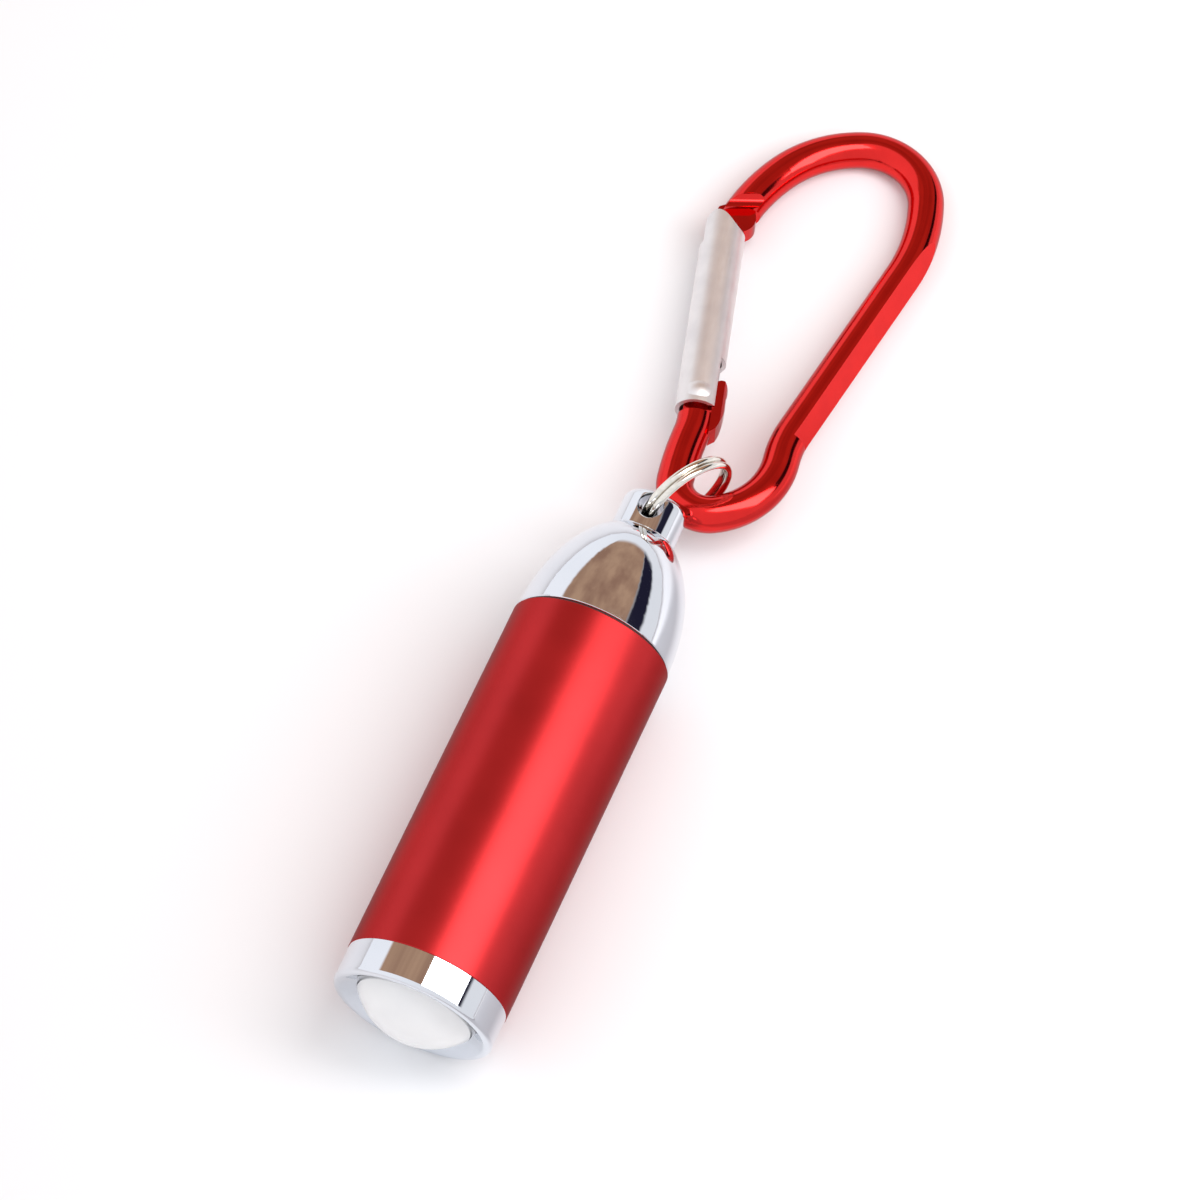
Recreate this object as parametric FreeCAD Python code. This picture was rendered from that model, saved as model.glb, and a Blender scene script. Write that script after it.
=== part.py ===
import FreeCAD, Part
import math
import os

# Keychain flashlight: a round button-cell torch with a chromed domed tail, a split ring
# through its neck and a small gourd-shaped snap hook. Millimetres, +Z up.
# The origin is on the torch's axis, halfway along the red sleeve. The torch lies along Y,
# lens towards -Y. Along the axis, "a" is the distance from the sleeve's tail end towards
# the lens, so y = sleeve_length / 2 - a.

V = FreeCAD.Vector

# ---- driving dimensions of the torch ----
sleeve_radius = 9.0
sleeve_length = 42.4
sleeve_wall = 0.7
pull_travel = 8.0            # how far the sleeve pulls forward to switch the light on
running_gap = 0.05           # radial gap of the sliding and turning fits

cell_radius = 5.8            # LR44 button cells
cell_height = 5.4
cell_count = 3
cell_tail = 7.0              # a of the first cell's tail face

carrier_radius = 7.9
carrier_front = 37.0
partition_back = cell_tail + cell_count * cell_height + 0.3
partition_front = partition_back + 1.5
board_back = partition_front + 1.4
board_front = board_back + 0.8

dome_base_radius = 8.85
cap_face = -0.20             # a of the cap's shoulder
plug_end = 4.5
tail_bore_radius = 6.8       # of the carrier, which the cap's plug screws into
dome_height = 14.6           # height of the whole half ellipse that the neck cuts
neck_radius = 3.65
neck_end = -18.2
neck_rounding = 1.0
hole_place = -16.2           # a of the cross hole's axis
hole_radius = 1.4

head_radius = 8.95
head_front = sleeve_length + 3.9
aperture_radius = 6.5
lens_sphere_radius = 8.0
lens_sphere_place = sleeve_length - 1.5

# ---- driving dimensions of the ring and the snap hook ----
ring_radius = 5.4            # middle of the wire
ring_wire = 0.4
ring_coil_step = 0.82
ring_reach = 4.7             # from the cross hole's axis to the ring's centre
ring_azimuth = 59.0          # direction of the ring from the hole, from +X towards +Y

wire_radius = 2.05
hook_origin = V(0.3, 41.17, -2.65)
hook_far_end = 52.9          # from the hook's origin to the wire's middle in the big bend
# The hook falls away until its big bend lies on the ground, level with the sleeve's underside.
hook_slope = math.degrees(math.asin((sleeve_radius + hook_origin.z - wire_radius) / hook_far_end))
gate_pivot = V(-2.0, 13.65, 0)
gate_lean = 15.6             # the gate's axis from the hook's long axis
gate_radius = 2.45
gate_bore = 1.97
blade_half = 1.1             # half thickness of the nose blade and of the hinge blade


def axial(a):
    return sleeve_length / 2 - a


def path(points):
    """Face bounded by straight lines and three-point arcs; an arc is (middle, end)."""
    edges = []
    last = points[0]
    for item in points[1:] + [points[0]]:
        if isinstance(item, tuple):
            middle, end = item
            edges.append(Part.Arc(last, middle, end).toShape())
            last = end
        else:
            if last.distanceToPoint(item) > 1e-6:
                edges.append(Part.LineSegment(last, item).toShape())
            last = item
    return Part.Face(Part.Wire(edges))


def ar(a, r):
    return V(r, axial(a), 0)


def turned(points):
    """Solid turned about the torch's axis from an outline of ar() points."""
    return path(points).revolve(V(0, 0, 0), V(0, 1, 0), 360)


def tube(a_tail, a_head, outer, inner):
    return turned([ar(a_tail, inner), ar(a_tail, outer), ar(a_head, outer), ar(a_head, inner)])


def disc(a_tail, a_head, radius):
    return Part.makeCylinder(radius, a_head - a_tail, V(0, axial(a_head), 0), V(0, 1, 0))


def block(x0, x1, y0, y1, z0, z1):
    return Part.makeBox(x1 - x0, y1 - y0, z1 - z0, V(x0, y0, z0))


def prism(points, z0, z1):
    """Plan outline raised from z0 to z1."""
    face = path(points)
    face.translate(V(0, 0, z0))
    return face.extrude(V(0, 0, z1 - z0))


def smooth(points):
    """Edge of a smooth curve through the points."""
    curve = Part.BSplineCurve()
    curve.interpolate(points)
    return curve.toShape()


def one_solid(shape):
    clean = shape.removeSplitter()
    return clean.Solids[0] if len(clean.Solids) == 1 else clean


nodes = {}


# ---- the torch: sleeve group ----
def body_sleeve():
    edge = 0.15
    inner = sleeve_radius - sleeve_wall
    return turned([
        ar(0, inner), ar(0, sleeve_radius - edge), ar(edge, sleeve_radius),
        ar(sleeve_length - 0.1, sleeve_radius), ar(sleeve_length, sleeve_radius - 0.1),
        ar(sleeve_length, inner),
    ])


def sleeve_liner():
    """Bush pressed into the sleeve's tail end, which the light module slides in."""
    return tube(0.5, 6.5, sleeve_radius - sleeve_wall, 7.95)


def insulator_band():
    """Film inside the sleeve under the switch leaf while the light is off. The leaf is clear of
    it once the sleeve is pulled right out."""
    inner = sleeve_radius - sleeve_wall
    start = 21.5
    return tube(start, start + pull_travel + 0.5, inner, inner - 0.1)


def head_ring():
    """Chromed nose ring: a spigot in the sleeve, a band, a rounded front and a funnel."""
    spigot = sleeve_radius - sleeve_wall - 0.02
    bore = 7.2
    rounding = 0.5
    corner = rounding * (1 - math.sqrt(0.5))
    lip_back = sleeve_length + 2.3
    funnel = sleeve_length + 3.1
    return turned([
        ar(38.4, bore), ar(38.4, spigot - 0.3), ar(38.7, spigot), ar(sleeve_length, spigot),
        ar(sleeve_length, head_radius), ar(head_front - rounding, head_radius),
        (ar(head_front - corner, head_radius - corner), ar(head_front, head_radius - rounding)),
        ar(head_front, 8.15),
        (ar(head_front - 0.3, 7.55), ar(funnel, aperture_radius)),
        ar(lip_back, aperture_radius), ar(lip_back, bore),
    ])


def focus_lens():
    """Clear plano-convex lens with a flange behind the ring's lip."""
    flange_front = sleeve_length + 2.28
    flange_back = sleeve_length + 1.1
    crown_radius = 6.4
    sag = math.sqrt(lens_sphere_radius ** 2 - crown_radius ** 2)
    crown_foot = lens_sphere_place + sag
    half = math.sqrt(lens_sphere_radius ** 2 - 3.4 ** 2)
    return turned([
        ar(flange_back, 0), ar(flange_back, 7.1), ar(flange_front, 7.1),
        ar(flange_front, crown_radius), ar(crown_foot, crown_radius),
        (ar(lens_sphere_place + half, 3.4), ar(lens_sphere_place + lens_sphere_radius, 0)),
    ])


def lens_seal():
    return tube(sleeve_length + 0.6, sleeve_length + 1.1, 7.12, 6.3)


def lens_retainer():
    """Ring pressed in behind the seal, with two wrench notches."""
    ring = tube(sleeve_length - 0.6, sleeve_length + 0.6, 7.18, 6.3)
    notch = block(-8, 8, axial(sleeve_length - 0.6) - 0.5, axial(sleeve_length - 0.6) + 1, -0.6, 0.6)
    return ring.cut(notch)


# ---- the torch: light module that stays behind when the sleeve is pulled ----

def battery_carrier():
    """Moulded carrier: threaded tail, cell bore, stop flange, board pocket in front."""
    outside = turned([
        ar(0, 0), ar(0, carrier_radius - 0.2), ar(0.2, carrier_radius),
        ar(14.5, carrier_radius), ar(14.5, 8.2), ar(17.0, 8.2), ar(17.0, 7.0),
        ar(carrier_front, 7.0), ar(carrier_front, 0),
    ])
    tail_bore = disc(-1, 5.0, tail_bore_radius)
    cell_bore = disc(4.9, partition_back, cell_radius + 0.12)
    contact_bore = disc(partition_back - 0.1, board_back, 0.85)
    step_bore = disc(partition_front, board_back, 5.2)
    front_bore = disc(board_back, carrier_front + 1, 6.3)
    body = outside
    for bore in (tail_bore, cell_bore, contact_bore, step_bore, front_bore):
        body = body.cut(bore)
    strip_groove = block(-1.3, 1.3, axial(12.4), axial(-1), 7.45, 9)
    strip_slot = block(-1.3, 1.3, axial(0.4), axial(-1), 6.0, 9)
    leaf_slot = block(-1.2, 1.2, axial(board_front + 0.5), axial(17.0) + 0.1, -9, -6.75)
    leaf_hole = block(-1.2, 1.2, axial(board_front + 0.5), axial(board_front), -7.5, -6.0)
    for pocket in (strip_groove, strip_slot, leaf_slot, leaf_hole):
        body = body.cut(pocket)
    return one_solid(body)


def button_cell(number):
    """Steel can with a slightly smaller cap on its front side."""
    tail = cell_tail + number * cell_height
    can = 4.2
    return turned([
        ar(tail + cell_height, 0), ar(tail + cell_height, 5.3), ar(tail + can, 5.5),
        ar(tail + can, 5.65), ar(tail + can - 0.15, cell_radius), ar(tail + 0.15, cell_radius),
        ar(tail, 5.65), ar(tail, 0),
    ])


def contact_strip():
    """Brass strip from the carrier's tail face to its outside, under the liner."""
    leg = block(-1.2, 1.2, axial(12.2), axial(0.35), 7.5, 7.8)
    foot = block(-1.2, 1.2, axial(0.35), axial(0.05), 6.85, 7.8)
    return one_solid(leg.fuse(foot))


def positive_contact():
    plate = disc(partition_back - 0.3, partition_back, 2.5)
    stem = disc(partition_back, board_back, 0.8)
    return one_solid(plate.fuse(stem))


def circuit_board():
    return disc(board_back, board_front, 6.25)


def led():
    """5 mm lamp: flange, straight body and domed nose."""
    nose = board_front + 6.1
    lift = 2.5 * math.sqrt(0.5)
    return turned([
        ar(board_front, 0), ar(board_front, 2.9), ar(board_front + 1.0, 2.9),
        ar(board_front + 1.0, 2.5), ar(nose, 2.5),
        (ar(nose + lift, lift), ar(nose + 2.5, 0)),
    ])


def resistor():
    """Chip resistor on the board, beside the lamp."""
    return block(3.6, 4.85, axial(board_front + 0.5), axial(board_front), -1.0, 1.0)


def reflector_cup():
    foot = board_front + 2.2
    return turned([
        ar(foot, 2.6), ar(foot, 3.4), ar(carrier_front - 1.2, 6.25), ar(carrier_front, 6.25),
        ar(carrier_front, 5.7),
        (ar(foot + 4.2, 4.25), ar(foot + 0.3, 2.6)),
    ])


def switch_leaf():
    """Spring leaf from the board's edge, bowed outwards to wipe the sleeve."""
    thick = 0.25
    back, front = axial(18.0), axial(board_front + 0.3)
    crest = (back + front) / 2
    low, high = -7.05, -8.1

    def side(y, z):
        return V(0, y, z)

    strip = path([
        side(front, -6.1), side(front, low), (side(crest, high), side(back, low)),
        side(back, low + thick),
        (side(crest, high + thick), side(front + thick, low + thick)), side(front + thick, -6.1),
    ])
    return strip.extrude(V(1.8, 0, 0)).translated(V(-0.9, 0, 0))


# ---- the torch: tail ----

def cap_gasket():
    play = 0.02
    return tube(cap_face + play, -play, 8.7, 6.85)


def tail_cap():
    """Chromed dome with a neck, drilled across for the ring; its plug closes the carrier."""
    face = axial(cap_face)
    rim = 0.12
    centre = face + rim
    ellipse = Part.Ellipse(V(0, centre + dome_height, 0), V(dome_base_radius, centre, 0),
                           V(0, centre, 0))
    blend_radius = neck_radius + 0.4
    reach = math.asin(blend_radius / dome_base_radius)
    dome_top = centre + dome_height * math.cos(reach)
    dome_edge = Part.ArcOfEllipse(ellipse, reach, math.pi / 2).toShape()
    end = axial(neck_end)
    corner = neck_rounding * (1 - math.sqrt(0.5))
    neck_start = V(neck_radius, dome_top + 0.35, 0)
    edges = [
        Part.LineSegment(V(0, face, 0), V(dome_base_radius - rim, face, 0)).toShape(),
        Part.LineSegment(V(dome_base_radius - rim, face, 0), V(dome_base_radius, centre, 0)).toShape(),
        dome_edge,
        Part.Arc(V(blend_radius, dome_top, 0), V(neck_radius + 0.12, dome_top + 0.13, 0),
                 neck_start).toShape(),
        Part.LineSegment(neck_start, V(neck_radius, end - neck_rounding, 0)).toShape(),
        Part.Arc(V(neck_radius, end - neck_rounding, 0), V(neck_radius - corner, end - corner, 0),
                 V(neck_radius - neck_rounding, end, 0)).toShape(),
        Part.LineSegment(V(neck_radius - neck_rounding, end, 0), V(0, end, 0)).toShape(),
        Part.LineSegment(V(0, end, 0), V(0, face, 0)).toShape(),
    ]
    outside = Part.Face(Part.Wire(edges)).revolve(V(0, 0, 0), V(0, 1, 0), 360)
    plug = disc(cap_face, plug_end, tail_bore_radius - running_gap)
    hollow = 4.6
    hollow_end = -5.0
    slant = hollow * math.sqrt(0.5)
    cavity = turned([
        ar(plug_end, 0), ar(plug_end, 5.3), ar(-1.5, 5.3), ar(-1.5, hollow), ar(hollow_end, hollow),
        (ar(hollow_end - slant, slant), ar(hollow_end - hollow, 0)),
    ])
    body = outside.fuse(plug).cut(cavity)
    return one_solid(body.cut(cross_hole()))


def cross_hole():
    """Vertical hole through the neck with rounded mouths."""
    flare = 0.3
    mouth = 3.35
    top = 4.2
    side = [
        V(0, 0, -top), V(hole_radius + flare, 0, -top), V(hole_radius + flare, 0, -mouth - flare),
        (V(hole_radius + 0.09, 0, -mouth - 0.09), V(hole_radius, 0, -mouth + 0.3)),
        V(hole_radius, 0, mouth - 0.3),
        (V(hole_radius + 0.09, 0, mouth + 0.09), V(hole_radius + flare, 0, mouth + flare)),
        V(hole_radius + flare, 0, top), V(0, 0, top),
    ]
    hole = path(side).revolve(V(0, 0, 0), V(0, 0, 1), 360)
    return hole.translated(V(0, axial(hole_place), 0))


def negative_plate():
    """Disc on the cap's inner shoulder that the spring stands on."""
    return disc(-1.5, -1.2, 5.2)


def coil_spring(wire, mean, turns, start, end):
    """Round-wire coil about +Z that fills the height from start to end. Each half turn is a
    half ring, tipped up or down by turns so that the ends meet in line."""
    pitch = (end - start - 2 * wire) / turns
    ring = math.hypot(mean, pitch / 4)
    tip = math.degrees(math.asin(pitch / 4 / ring))
    halves = []
    for i in range(int(2 * turns)):
        section = Part.Face(Part.Wire([Part.Circle(V(ring, 0, 0), V(0, 1, 0), wire).toShape()]))
        half = section.revolve(V(0, 0, 0), V(0, 0, 1), 180)
        half.rotate(V(0, 0, 0), V(0, 1, 0), tip)
        half.rotate(V(0, 0, 0), V(0, 0, 1), 180 * (i % 2))
        half.translate(V(0, 0, start + wire + pitch / 4 + i * pitch / 2))
        halves.append(half)
    return halves[0].fuse(halves[1:])


def tail_spring():
    """Coil between the cap and the first cell."""
    low = -cell_tail + 0.05
    high = 1.2
    spring = coil_spring(0.25, 3.6, 5.5, low, high)
    spring.rotate(V(0, 0, 0), V(1, 0, 0), -90)
    spring.translate(V(0, axial(0), 0))
    return spring


# ---- split ring ----
def split_ring():
    """Two flat coils of wire joined by one slanting step, standing upright in the neck's hole."""
    gap = 11.0
    half = ring_coil_step / 2
    parts = []
    for level in (-half, half):
        profile = Part.Face(Part.Wire([
            Part.Circle(V(ring_radius, 0, level), V(0, 1, 0), ring_wire).toShape()]))
        profile.rotate(V(0, 0, 0), V(0, 0, 1), gap)
        parts.append(profile.revolve(V(0, 0, 0), V(0, 0, 1), 360 - 2 * gap))
    reach = ring_radius * math.cos(math.radians(gap))
    side = ring_radius * math.sin(math.radians(gap))
    low, high = V(reach, -side, -half), V(reach, side, half)
    parts.append(Part.makeCylinder(ring_wire, low.distanceToPoint(high), low, high - low))
    parts.append(Part.makeSphere(ring_wire, low))
    parts.append(Part.makeSphere(ring_wire, high))
    ring = parts[0].fuse(parts[1:])
    ring.rotate(V(0, 0, 0), V(0, 0, 1), 225)
    ring.rotate(V(0, 0, 0), V(1, 0, 0), 90)
    ring.rotate(V(0, 0, 0), V(0, 0, 1), ring_azimuth)
    ring.translate(ring_centre())
    return ring


def ring_direction():
    turn = math.radians(ring_azimuth)
    return V(math.cos(turn), math.sin(turn), 0)


def ring_centre():
    return V(0, axial(hole_place), 0) + ring_direction() * ring_reach


# ---- snap hook, drawn flat in its own plan, then laid on its slope ----
# The wire's middle line starts at the hinge and runs round the small loop, up the spine
# and over the big bend to the nose. A run is (radius, angle) turning left, or (0, length).
hook_start = V(-1.37, 11.39, 0)
hook_heading = -74.4
hook_runs = [
    (-9.3, 13.6), (36.7, 9.5), (3.65, 109.4), (8.85, 69.8), (-12.8, 18.3), (0, 24.0),
    (21.5, 28.1), (7.0, 92.8), (13.9, 40.2), (21.7, 16.7), (0, 3.6),
]
spine_run = 5


def heading_vector(heading):
    return V(math.cos(heading), math.sin(heading), 0)


def hook_edges():
    """Edges of the middle line, with the place and heading at the start of each."""
    place = hook_start
    heading = math.radians(hook_heading)
    edges = []
    starts = []
    for radius, amount in hook_runs:
        starts.append((place, heading))
        if radius == 0:
            end = place + heading_vector(heading) * amount
            edges.append(Part.LineSegment(place, end).toShape())
            place = end
            continue
        turn = math.radians(amount) * (1 if radius > 0 else -1)
        centre = place + V(-math.sin(heading), math.cos(heading), 0) * radius

        def on_arc(part):
            angle = heading + turn * part
            return centre - V(-math.sin(angle), math.cos(angle), 0) * radius

        end = on_arc(1)
        edges.append(Part.Arc(place, on_arc(0.5), end).toShape())
        place = end
        heading = heading + turn
    return edges, starts


def gate_plan(shape):
    """From the gate's own plan (x across it, y along it from the pivot) to the hook's."""
    moved = shape.copy()
    moved.rotate(V(0, 0, 0), V(0, 0, 1), gate_lean)
    moved.translate(gate_pivot)
    return moved


def lay(shape):
    """From the hook's plan to its place, sloping down to the ground."""
    moved = shape.copy()
    moved.rotate(V(0, 0, 0), V(1, 0, 0), -hook_slope)
    moved.translate(hook_origin)
    return moved


ridge_left = V(-0.75, 24.42, 0)
ridge_right = V(3.0, 25.0, 0)
shelf = -2.35


def hook_wire():
    edges, starts = hook_edges()
    place, heading = starts[0]
    profile = Part.Wire([Part.Circle(place, heading_vector(heading), wire_radius).toShape()])
    return Part.Wire(edges).makePipeShell([profile], True, False)


def spine_flat():
    """Flat pressed on the spine's upper outer side, ending in a step by the small loop."""
    place, heading = hook_edges()[1][spine_run]
    depth = 0.56
    length = 34.0
    tool = block(-1.3, length, -3, 3, 0, 4)
    tool.translate(V(0, 0, wire_radius - depth))
    tool.rotate(V(0, 0, 0), V(1, 0, 0), 61.0)
    tool.rotate(V(0, 0, 0), V(0, 0, 1), math.degrees(heading))
    tool.translate(place)
    return tool


def nose_step():
    """Everything of the wire beyond the ridge, in the gate's plan."""
    along = ridge_right - ridge_left
    left = ridge_left - along * 2
    right = ridge_right + along * 2
    drop = V(0, -9, 0)
    return prism([left, right, right + drop, left + drop], -4, 4)


def nose_groove(side):
    """Round groove across the nose just above the ridge, on the top or the under side."""
    along = ridge_right - ridge_left
    along.normalize()
    across = V(-along.y, along.x, 0)
    start = ridge_left + across * 0.95 - along * 6
    return Part.makeCylinder(1.1, 18, start + V(0, 0, side * 2.35), along)


def nose_blade():
    """Flat tongue beyond the ridge that fits between the gate's two cheeks."""
    edge = [
        V(-0.6, 20.8, 0), V(1.55, 20.8, 0), V(1.6, 22.25, 0),
        (V(2.05, 22.22, 0), V(2.55, 22.45, 0)),
        (V(3.2, 23.2, 0), V(3.35, 24.3, 0)),
        V(3.1, 25.6, 0), V(1.0, 26.2, 0), V(-0.9, 25.2, 0), V(-1.2, 24.3, 0), V(-1.15, 22.6, 0),
    ]
    return prism(edge, -blade_half, blade_half)


def hinge_blade():
    """Flat tongue that the gate's rivet goes through, and the finger on its inner side."""
    tongue = prism([V(-1.5, shelf - 1.5, 0), V(1.8, shelf - 1.5, 0), V(1.8, 0.2, 0),
                    V(1.5, 0, 0), (V(0, 1.5, 0), V(-1.5, 0, 0))], -blade_half, blade_half)
    finger = prism([V(1.6, -4.8, 0), V(2.35, -4.2, 0), (V(2.85, -2.6, 0), V(3.0, -0.6, 0)),
                    V(2.95, 0.9, 0), (V(2.3, 2.0, 0), V(1.62, 1.2, 0))], -1.45, 1.45)
    finger = finger.common(along_gate(-6, 3, 3.05))
    pin_hole = Part.makeCylinder(0.8, 8, V(0, 0, -4))
    return tongue.fuse(finger).cut(pin_hole)


def carabiner_frame():
    body = hook_wire().cut(spine_flat())
    body = body.cut(gate_plan(nose_step()))
    for side in (-1, 1):
        body = body.cut(gate_plan(nose_groove(side)))
    body = body.fuse([gate_plan(nose_blade()), gate_plan(hinge_blade())])
    return lay(one_solid(body))


def gate_outline():
    """Plan outline of the gate: rounded outer tip, S-shaped inner cut, trimmed heel."""
    heel = -1.5
    tip = V(-1.2, 24.05, 0)
    inner_top = V(2.7, 22.08, 0)
    trim = 2.75
    drop = math.sqrt(trim ** 2 - heel ** 2)
    edges = [
        Part.LineSegment(V(-2.7, heel, 0), V(-2.7, 21.2, 0)).toShape(),
        Part.Arc(V(-2.7, 21.2, 0), V(-2.22, 22.9, 0), tip).toShape(),
        smooth([tip, V(-0.35, 23.85, 0), V(0.67, 23.05, 0), V(1.6, 22.25, 0), inner_top]),
        Part.LineSegment(inner_top, V(2.7, 0, 0)).toShape(),
        Part.LineSegment(V(2.7, 0, 0), V(2.75, 0, 0)).toShape(),
        Part.Arc(V(2.75, 0, 0), V(trim * math.cos(0.3), -trim * math.sin(0.3), 0),
                 V(drop, heel, 0)).toShape(),
        Part.LineSegment(V(drop, heel, 0), V(-2.7, heel, 0)).toShape(),
    ]
    face = Part.Face(Part.Wire(edges))
    face.translate(V(0, 0, -4))
    return face.extrude(V(0, 0, 8))


def along_gate(y0, y1, radius):
    return Part.makeCylinder(radius, y1 - y0, V(0, y0, 0), V(0, 1, 0))


def carabiner_gate():
    """Tube with a slot for the nose blade outside its tip and one for the finger inside."""
    body = along_gate(-3, 25, gate_radius).cut(along_gate(-4, 26, gate_bore))
    crimp = along_gate(12.6, 13.4, gate_bore + 0.1).cut(along_gate(12, 14, 1.2))
    body = body.fuse(crimp).common(gate_outline())
    nose_slot = block(-4, 0, 20.1, 26, -1.3, 1.3)
    finger_slot = block(0.6, 4, -4, 4.9, -1.6, 1.6)
    for tool in (nose_slot, finger_slot, gate_rivet()):
        body = body.cut(tool)
    return lay(gate_plan(one_solid(body)))


def gate_rivet():
    """Pin through the gate's cheeks with a low domed head at each end, in the gate's plan."""
    head = 1.3
    rise = 0.52
    seat = 2.2
    top = seat + rise
    ball = (head ** 2 + rise ** 2) / (2 * rise)
    lean = math.asin(head / ball) / 2
    shoulder = ball * math.sin(lean)
    shoulder_top = top - ball * (1 - math.cos(lean))
    side = [
        V(0, 0, -top), (V(shoulder, 0, -shoulder_top), V(head, 0, -seat)), V(0.75, 0, -seat),
        V(0.75, 0, seat), V(head, 0, seat), (V(shoulder, 0, shoulder_top), V(0, 0, top)),
    ]
    rivet = path(side).revolve(V(0, 0, 0), V(0, 0, 1), 360)
    return rivet


def gate_plunger():
    """Steel pin with a rounded foot that the spring pushes against the hinge blade."""
    foot, top, radius = 1.62, 4.9, 1.7
    side = [V(0, foot, 0), V(radius - 0.3, foot, 0), V(radius, foot + 0.3, 0), V(radius, top, 0),
            V(0.9, top, 0), V(0.9, top + 0.8, 0), V(0, top + 0.8, 0)]
    return lay(gate_plan(path(side).revolve(V(0, 0, 0), V(0, 1, 0), 360)))


def gate_spring():
    """Small coil between the plunger and the gate's crimp."""
    spring = coil_spring(0.17, 1.45, 9, -12.58, -5.02)
    spring.rotate(V(0, 0, 0), V(1, 0, 0), 90)
    return lay(gate_plan(spring))


nodes["body_sleeve"] = body_sleeve()
nodes["sleeve_liner"] = sleeve_liner()
nodes["insulator_band"] = insulator_band()
nodes["head_ring"] = head_ring()
nodes["focus_lens"] = focus_lens()
nodes["lens_seal"] = lens_seal()
nodes["lens_retainer"] = lens_retainer()
nodes["battery_carrier"] = battery_carrier()
for number in range(cell_count):
    nodes["button_cell_%d" % (number + 1)] = button_cell(number)
nodes["contact_strip"] = contact_strip()
nodes["positive_contact"] = positive_contact()
nodes["circuit_board"] = circuit_board()
nodes["led"] = led()
nodes["resistor"] = resistor()
nodes["reflector_cup"] = reflector_cup()
nodes["switch_leaf"] = switch_leaf()
nodes["cap_gasket"] = cap_gasket()
nodes["tail_cap"] = tail_cap()
nodes["negative_plate"] = negative_plate()
nodes["tail_spring"] = tail_spring()
nodes["split_ring"] = split_ring()
nodes["carabiner_frame"] = carabiner_frame()
nodes["carabiner_gate"] = carabiner_gate()
nodes["gate_rivet"] = lay(gate_plan(gate_rivet()))
nodes["gate_plunger"] = gate_plunger()
nodes["gate_spring"] = gate_spring()

os.makedirs("parts", exist_ok=True)
for name, shape in nodes.items():
    print(name, len(shape.Solids), shape.isValid(), round(shape.Volume, 2))
    shape.exportStep("parts/" + name + ".step")
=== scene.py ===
import math

import bpy
from mathutils import Matrix, Vector


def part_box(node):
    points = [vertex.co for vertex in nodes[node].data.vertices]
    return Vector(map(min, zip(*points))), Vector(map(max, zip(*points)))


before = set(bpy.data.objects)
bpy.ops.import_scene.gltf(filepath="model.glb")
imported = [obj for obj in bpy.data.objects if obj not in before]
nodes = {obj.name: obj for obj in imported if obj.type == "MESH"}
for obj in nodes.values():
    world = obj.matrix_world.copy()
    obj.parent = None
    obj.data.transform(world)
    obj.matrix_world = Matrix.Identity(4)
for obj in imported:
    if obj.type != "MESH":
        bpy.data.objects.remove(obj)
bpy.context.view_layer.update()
MM = 0.001

# The studio is laid out from the torch's barrel, which rests on the floor.
sleeve_low, sleeve_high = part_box("body_sleeve")
sleeve_radius = (sleeve_high.x - sleeve_low.x) / 2
ground = -sleeve_radius

# Directions round the torch's axis in degrees, from straight up towards +X. Bright metal
# picks up a wooden door between the first two and a dark gap between the last two.
DOOR_FROM, DOOR_TO, GAP_TO = -57, 42, 66
# Both are seen only this far towards +Y and this far up, as parts of a unit direction.
OPENING_ALONG, OPENING_UP = 0.22, 0.2


# ---- small helpers ----
def linear(code):
    """sRGB hex, such as "b02024", to linear colour with alpha."""
    values = []
    for i in (0, 2, 4):
        c = int(code[i:i + 2], 16) / 255
        values.append(c / 12.92 if c <= 0.04045 else ((c + 0.055) / 1.055) ** 2.4)
    return (*values, 1.0)


def add(tree, kind, links=None, stops=(), **settings):
    """Adds a node. A setting names a property, or an input when it starts with in_. links
    gives inputs their sources, as {input: (node, output)}, and stops a ramp its colours.
    A Mix node's two colours are its inputs 6 and 7, and their mix is its output 2."""
    node = tree.nodes.new(kind)
    for name, value in settings.items():
        if name.startswith("in_"):
            key = name[3:]
            node.inputs[int(key) if key.isdigit() else key.replace("_", " ")].default_value = value
        else:
            setattr(node, name, value)
    for i, (position, colour) in enumerate(stops):
        node.color_ramp.elements[i].position = position
        node.color_ramp.elements[i].color = linear(colour)
    for key, (source, output) in (links or {}).items():
        tree.links.new(source.outputs[output], node.inputs[key])
    return node


def pattern(tree, size_mm, detail, stretch=(1, 1, 1)):
    """Cloudy pattern on the piece whose clouds are about size_mm, squeezed by stretch."""
    place = add(tree, "ShaderNodeTexCoord")
    scaled = add(tree, "ShaderNodeMapping", {"Vector": (place, "Object")},
                 in_Scale=tuple(s / MM for s in stretch))
    return add(tree, "ShaderNodeTexNoise", {"Vector": (scaled, 0)},
               in_Scale=1 / size_mm, in_Detail=detail)


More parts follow.
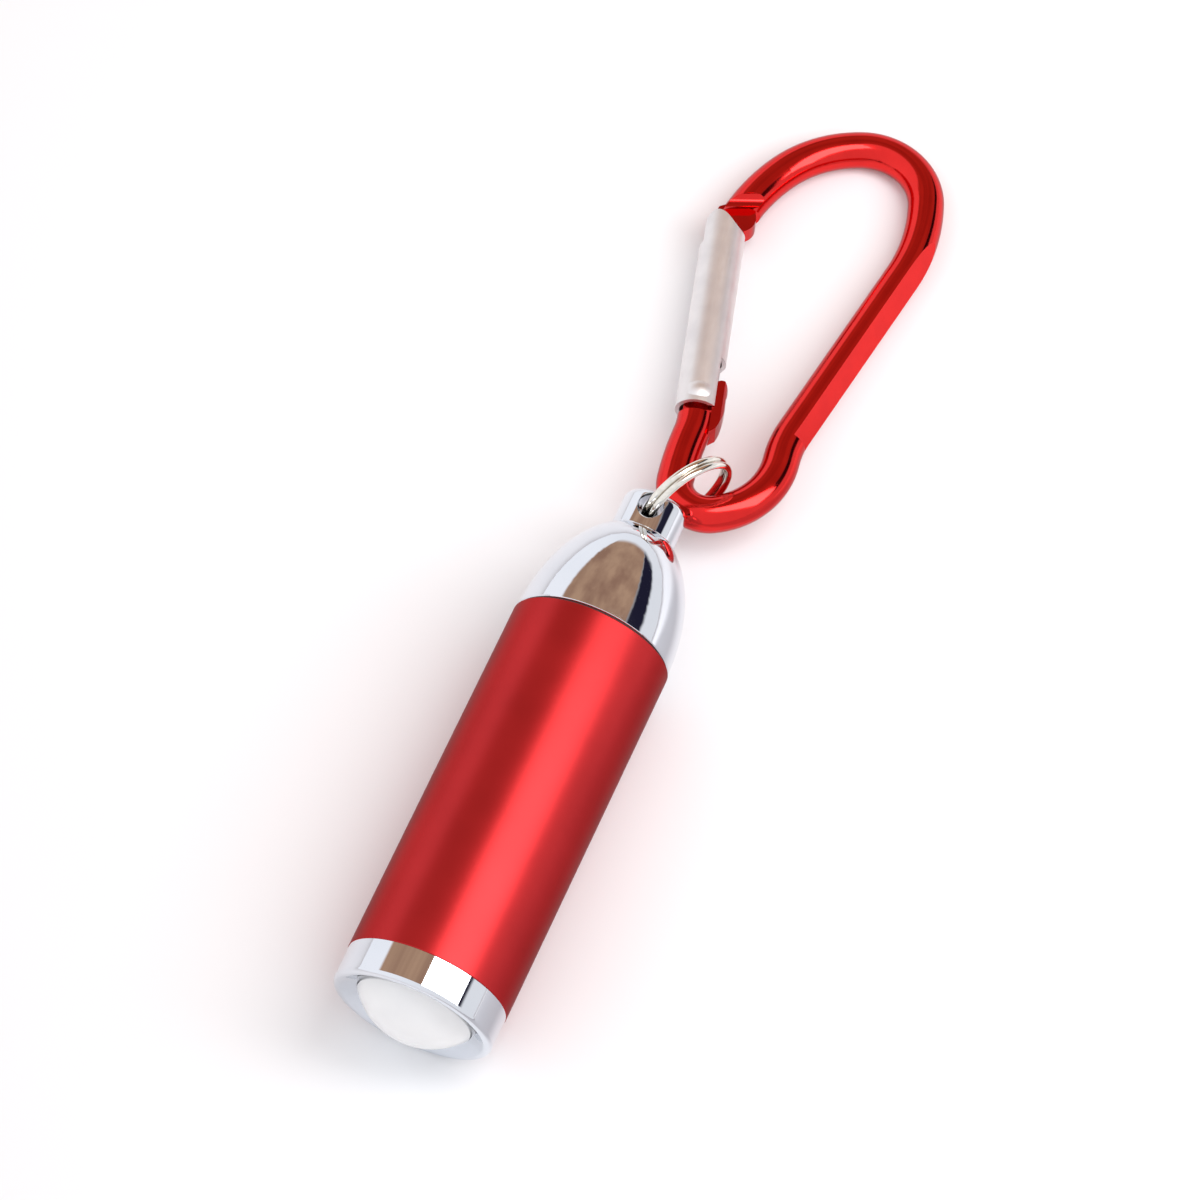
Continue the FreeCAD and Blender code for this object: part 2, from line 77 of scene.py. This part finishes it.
def finish(name, tones, gloss, clouds, texture=None, height=None, streaked=False,
           steps=(0.3, 0.7), **shader):
    """Material of one real finish. clouds and texture are patterns, as (size in mm, detail)
    with a stretch where they need one. The clouds drive the tone between two hex colours,
    and the roughness between the two values of gloss, unless streaked, when the texture
    drives that. The texture also raises the surface by height, (mm, strength). Without a
    texture the clouds do. Values in shader go on the shader's own sockets."""
    material = bpy.data.materials.new(name)
    material.use_nodes = True
    tree = material.node_tree
    tree.nodes.clear()
    surface = add(tree, "ShaderNodeBsdfPrincipled")
    for key, value in shader.items():
        surface.inputs[key.replace("_", " ")].default_value = value
    add(tree, "ShaderNodeOutputMaterial", {"Surface": (surface, "BSDF")})
    cloudy = pattern(tree, *clouds)
    fine = pattern(tree, *texture) if texture else cloudy
    tint = add(tree, "ShaderNodeValToRGB", {"Fac": (cloudy, "Fac")}, stops=zip(steps, tones))
    tree.links.new(tint.outputs["Color"], surface.inputs["Base Color"])
    rough = add(tree, "ShaderNodeMapRange", {"Value": (fine if streaked else cloudy, "Fac")},
                in_To_Min=gloss[0], in_To_Max=gloss[1])
    tree.links.new(rough.outputs["Result"], surface.inputs["Roughness"])
    if height:
        raised = add(tree, "ShaderNodeBump", {"Height": (fine, "Fac")},
                     in_Distance=height[0] * MM, in_Strength=height[1])
        tree.links.new(raised.outputs["Normal"], surface.inputs["Normal"])
    return material


# ---- materials ----
def anodised_sleeve():
    """Red anodised aluminium, bead blasted first: a satin skin that smears the light into a
    soft band along the barrel, and darkens towards its edges, where the eye looks through
    more of the dye. Grit of about 0.12 mm, drawn at 0.25 mm so that it shows."""
    return finish(
        "anodised_aluminium_blasted_red", ("b42427", "be282b"), (0.34, 0.40),
        clouds=(9.0, 4.0), texture=(0.25, 2.0), height=(0.004, 0.5), steps=(0.35, 0.7),
        Metallic=1.0, Specular_Tint=linear("8a6a6e"),
        Coat_Weight=0.25, Coat_Roughness=0.3, Coat_IOR=1.5)


def anodised_hook():
    """Red anodised aluminium wire, bright dipped: a deep red mirror, a little uneven where
    it was bent, under a thin clear seal that whitens its highlights."""
    return finish(
        "anodised_aluminium_bright_red", ("d8120f", "e21a16"), (0.09, 0.19),
        clouds=(2.5, 5.0), height=(0.02, 0.3),
        Metallic=1.0, Specular_Tint=linear("b06a6a"),
        Coat_Weight=0.5, Coat_Roughness=0.1, Coat_IOR=1.5)


def chrome_plate():
    """Bright chrome on a turned part: a clear mirror with barely any orange peel."""
    return finish(
        "chrome_plated_turned", ("d7dbe2", "dde0e6"), (0.02, 0.07),
        clouds=(6.0, 4.0), texture=(1.6, 2.0), height=(0.006, 0.4), Metallic=1.0)


def bare_aluminium():
    """Tumbled bare aluminium tube: soft grey metal with fine lines along the tube, 0.2 mm
    across and 2.3 mm long."""
    return finish(
        "aluminium_tube_tumbled", ("dedbdc", "e9e6e6"), (0.42, 0.56),
        clouds=(3.0, 3.0), texture=(0.8, 4.0, (4.0, 0.35, 4.0)), height=(0.002, 0.25),
        streaked=True, Metallic=1.0)


def drawn_wire(name, tones, gloss):
    """Drawn wire or rolled strip, some of it plated: bright metal with marks of about
    0.6 mm left by the die or the rolls."""
    return finish(name, tones, gloss, clouds=(0.6, 4.0), height=(0.004, 0.3), Metallic=1.0)


def moulded(name, tones, roughness):
    """Injection-moulded plastic or rubber: even colour with a spark-eroded grain of about
    0.5 mm."""
    return finish(
        name, tones, (roughness - 0.06, roughness + 0.06),
        clouds=(4.0, 3.0), texture=(0.5, 2.0), height=(0.01, 0.4), IOR=1.5)


def clear_lens():
    """Moulded acrylic, IOR 1.49: a bright thick magnifier with a milky body, which glows
    white from all the light that it gathers."""
    return finish(
        "acrylic_milky_moulded", ("fbfbfc", "ffffff"), (0.01, 0.05), clouds=(3.0, 2.0),
        IOR=1.49, Transmission_Weight=0.22)


def dress_nodes():
    """Gives every CAD node its finish."""
    chrome = chrome_plate()
    aluminium = bare_aluminium()
    clear = clear_lens()
    brass = drawn_wire("brass_strip_rolled", ("c9a35a", "d8b46c"), (0.22, 0.34))
    spring = drawn_wire("spring_steel_drawn", ("8f9094", "a9aaae"), (0.18, 0.3))
    can = drawn_wire("nickel_plated_steel_can", ("c4c5c8", "d6d7da"), (0.16, 0.26))
    rubber = moulded("nitrile_rubber_black", ("141414", "1c1c1c"), 0.6)
    black = moulded("abs_moulded_black", ("17181a", "202123"), 0.42)
    finishes = {
        "body_sleeve": anodised_sleeve(),
        "head_ring": chrome,
        "focus_lens": clear,
        "lens_seal": rubber,
        "lens_retainer": black,
        "sleeve_liner": moulded("acetal_moulded_white", ("e4e3de", "eceae5"), 0.38),
        "insulator_band": moulded("polyimide_film", ("a8641c", "b87428"), 0.25),
        "battery_carrier": black,
        "button_cell_1": can,
        "button_cell_2": can,
        "button_cell_3": can,
        "contact_strip": brass,
        "positive_contact": brass,
        "switch_leaf": brass,
        "circuit_board": moulded("glass_epoxy_green_mask", ("0f4a24", "17602f"), 0.3),
        "resistor": moulded("ceramic_chip_black", ("18181a", "26262a"), 0.45),
        "led": clear,
        "reflector_cup": drawn_wire("metallised_abs_reflector", ("eeeeee", "f8f8f8"),
                                    (0.05, 0.1)),
        "cap_gasket": rubber,
        "tail_cap": chrome,
        "negative_plate": brass,
        "tail_spring": spring,
        "split_ring": drawn_wire("nickel_plated_wire", ("dcd8cf", "ebe8e1"), (0.06, 0.14)),
        "carabiner_frame": anodised_hook(),
        "carabiner_gate": aluminium,
        "gate_rivet": aluminium,
        "gate_plunger": spring,
        "gate_spring": spring,
    }
    for name, material in finishes.items():
        for slot in nodes[name].material_slots:
            slot.material = material


# ---- studio ----
def smooth_between(tree, source, output, low, high, soft):
    """1 where the value lies between low and high, with soft edges."""
    rise = add(tree, "ShaderNodeMapRange", {"Value": (source, output)},
               interpolation_type="SMOOTHSTEP", in_From_Min=low - soft, in_From_Max=low + soft)
    fall = add(tree, "ShaderNodeMapRange", {"Value": (source, output)},
               interpolation_type="SMOOTHSTEP", in_From_Min=high - soft, in_From_Max=high + soft,
               in_To_Min=1.0, in_To_Max=0.0)
    return add(tree, "ShaderNodeMath", {0: (rise, 0), 1: (fall, 0)}, operation="MULTIPLY")


def studio_floor():
    """Pale matt board under everything. Beside the torch it is painted greyer for glossy rays
    only:
    a painted shade that bright metal shows in its reflections, so that its right edge stays round
    and dark against the white, while the camera and diffuse light see only the pale board."""
    size, sink = 3.0, 0.02 * MM
    bpy.ops.mesh.primitive_plane_add(size=size, location=(0, 0, ground - sink))
    floor = bpy.context.object
    floor.name = "floor"
    material = bpy.data.materials.new("matt_white_board_painted_reflection_shade")
    material.use_nodes = True
    tree = material.node_tree
    tree.nodes.clear()
    surface = add(tree, "ShaderNodeBsdfPrincipled", in_Roughness=0.9)
    add(tree, "ShaderNodeOutputMaterial", {"Surface": (surface, "BSDF")})
    place = add(tree, "ShaderNodeTexCoord")
    split = add(tree, "ShaderNodeSeparateXYZ", {"Vector": (place, "Object")})
    beside = add(tree, "ShaderNodeMapRange", {"Value": (split, "X")},
                 interpolation_type="SMOOTHSTEP",
                 in_From_Min=sleeve_radius * 1.2, in_From_Max=sleeve_radius * 2.5)
    behind = add(tree, "ShaderNodeMapRange", {"Value": (split, "Y")},
                 interpolation_type="SMOOTHSTEP",
                 in_From_Min=sleeve_radius * 5, in_From_Max=sleeve_radius * 8,
                 in_To_Min=1.0, in_To_Max=0.0)
    # Painted shade: this patch beside the torch greys the board, and only glossy rays see the
    # grey.
    glossy_only_shade = add(tree, "ShaderNodeMath", {0: (beside, 0), 1: (behind, 0)}, operation="MULTIPLY")
    path = add(tree, "ShaderNodeLightPath")
    shade_in_reflections = add(tree, "ShaderNodeMath", {0: (glossy_only_shade, 0), 1: (path, "Is Glossy Ray")},
                    operation="MULTIPLY")
    tint = add(tree, "ShaderNodeMix", {"Factor": (shade_in_reflections, 0)}, data_type="RGBA",
               in_6=linear("f2f3f5"), in_7=linear("c2c2c6"))
    tree.links.new(tint.outputs[2], surface.inputs["Base Color"])
    floor.data.materials.append(material)


def room():
    """Light tent: pale walls all round, open over the tail of the torch, where bright metal
    picks up a wooden door and the dark gap beside it. The camera sees plain white."""
    world = bpy.data.worlds.new("light_tent")
    bpy.context.scene.world = world
    world.use_nodes = True
    tree = world.node_tree
    tree.nodes.clear()
    place = add(tree, "ShaderNodeTexCoord")
    split = add(tree, "ShaderNodeSeparateXYZ", {"Vector": (place, "Generated")})
    across = add(tree, "ShaderNodeMath", {0: (split, "X"), 1: (split, "Z")}, operation="ARCTAN2")
    door_width = smooth_between(tree, across, 0, math.radians(DOOR_FROM),
                                math.radians(DOOR_TO), 0.04)
    gap_width = smooth_between(tree, across, 0, math.radians(DOOR_TO),
                               math.radians(GAP_TO), 0.05)
    along = smooth_between(tree, split, "Y", OPENING_ALONG, 2.0, 0.06)
    above = smooth_between(tree, split, "Z", OPENING_UP, 2.0, 0.05)
    opening = add(tree, "ShaderNodeMath", {0: (along, 0), 1: (above, 0)}, operation="MULTIPLY")
    door = add(tree, "ShaderNodeMath", {0: (door_width, 0), 1: (opening, 0)},
               operation="MULTIPLY")
    gap = add(tree, "ShaderNodeMath", {0: (gap_width, 0), 1: (opening, 0)},
              operation="MULTIPLY")
    side = add(tree, "ShaderNodeMapRange", {"Value": (split, "X")}, in_From_Min=-1.0)
    wall = add(tree, "ShaderNodeValToRGB", {"Fac": (side, "Result")},
               stops=((0.2, "fcfcff"), (0.8, "ececee")))
    mottle = add(tree, "ShaderNodeTexNoise", {"Vector": (place, "Generated")},
                 in_Scale=4.0, in_Detail=4.0)
    wood = add(tree, "ShaderNodeValToRGB", {"Fac": (mottle, "Fac")},
               stops=((0.35, "987460"), (0.65, "b79378")))
    with_door = add(tree, "ShaderNodeMix", {"Factor": (door, 0), 6: (wall, 0), 7: (wood, 0)},
                    data_type="RGBA")
    with_gap = add(tree, "ShaderNodeMix", {"Factor": (gap, 0), 6: (with_door, 2)},
                   data_type="RGBA", in_7=linear("201e30"))
    seen = add(tree, "ShaderNodeBackground", in_Color=linear("ffffff"), in_Strength=1.0)
    lit = add(tree, "ShaderNodeBackground", {"Color": (with_gap, 2)}, in_Strength=1.15)
    path = add(tree, "ShaderNodeLightPath")
    either = add(tree, "ShaderNodeMixShader",
                 {0: (path, "Is Camera Ray"), 1: (lit, 0), 2: (seen, 0)})
    add(tree, "ShaderNodeOutputWorld", {"Surface": (either, 0)})


def key_softbox():
    """Rectangular lamp over the torch and a little towards +X, facing the torch's axis. It
    ends before the tail, so that it shows in the nose ring but not in the dome."""
    across, distance, along = math.radians(32.5), 0.27, 0.075
    light = bpy.data.lights.new("key_softbox", "AREA")
    light.shape = "RECTANGLE"
    light.size = 0.281
    light.size_y = 0.120
    light.energy = 0.53
    lamp = bpy.data.objects.new("key_softbox", light)
    bpy.context.scene.collection.objects.link(lamp)
    lamp.location = (distance * math.sin(across), along, distance * math.cos(across))
    lamp.rotation_euler = (0, across, 0)
    lamp.visible_camera = False


def camera():
    """Long lens looking down on the torch from over its lens end."""
    azimuth, elevation, distance = math.radians(23.45), math.radians(63.88), 0.550
    focal, sensor = 157.56, 36.0
    right_mm, up_mm = 9.44, 22.16
    back = Vector((math.sin(azimuth) * math.cos(elevation),
                   -math.cos(azimuth) * math.cos(elevation), math.sin(elevation)))
    right = Vector((math.cos(azimuth), math.sin(azimuth), 0))
    up = back.cross(right)
    middle = right * right_mm * MM + up * up_mm * MM
    data = bpy.data.cameras.new("camera")
    data.lens = focal
    data.sensor_width = sensor
    data.clip_start = 0.01
    view = bpy.data.objects.new("camera", data)
    bpy.context.scene.collection.objects.link(view)
    turn = Matrix((right, up, back)).transposed().to_4x4()
    view.matrix_world = Matrix.Translation(middle + back * distance) @ turn
    bpy.context.scene.camera = view


dress_nodes()
studio_floor()
room()
key_softbox()
camera()
bpy.context.scene.view_settings.view_transform = "Standard"
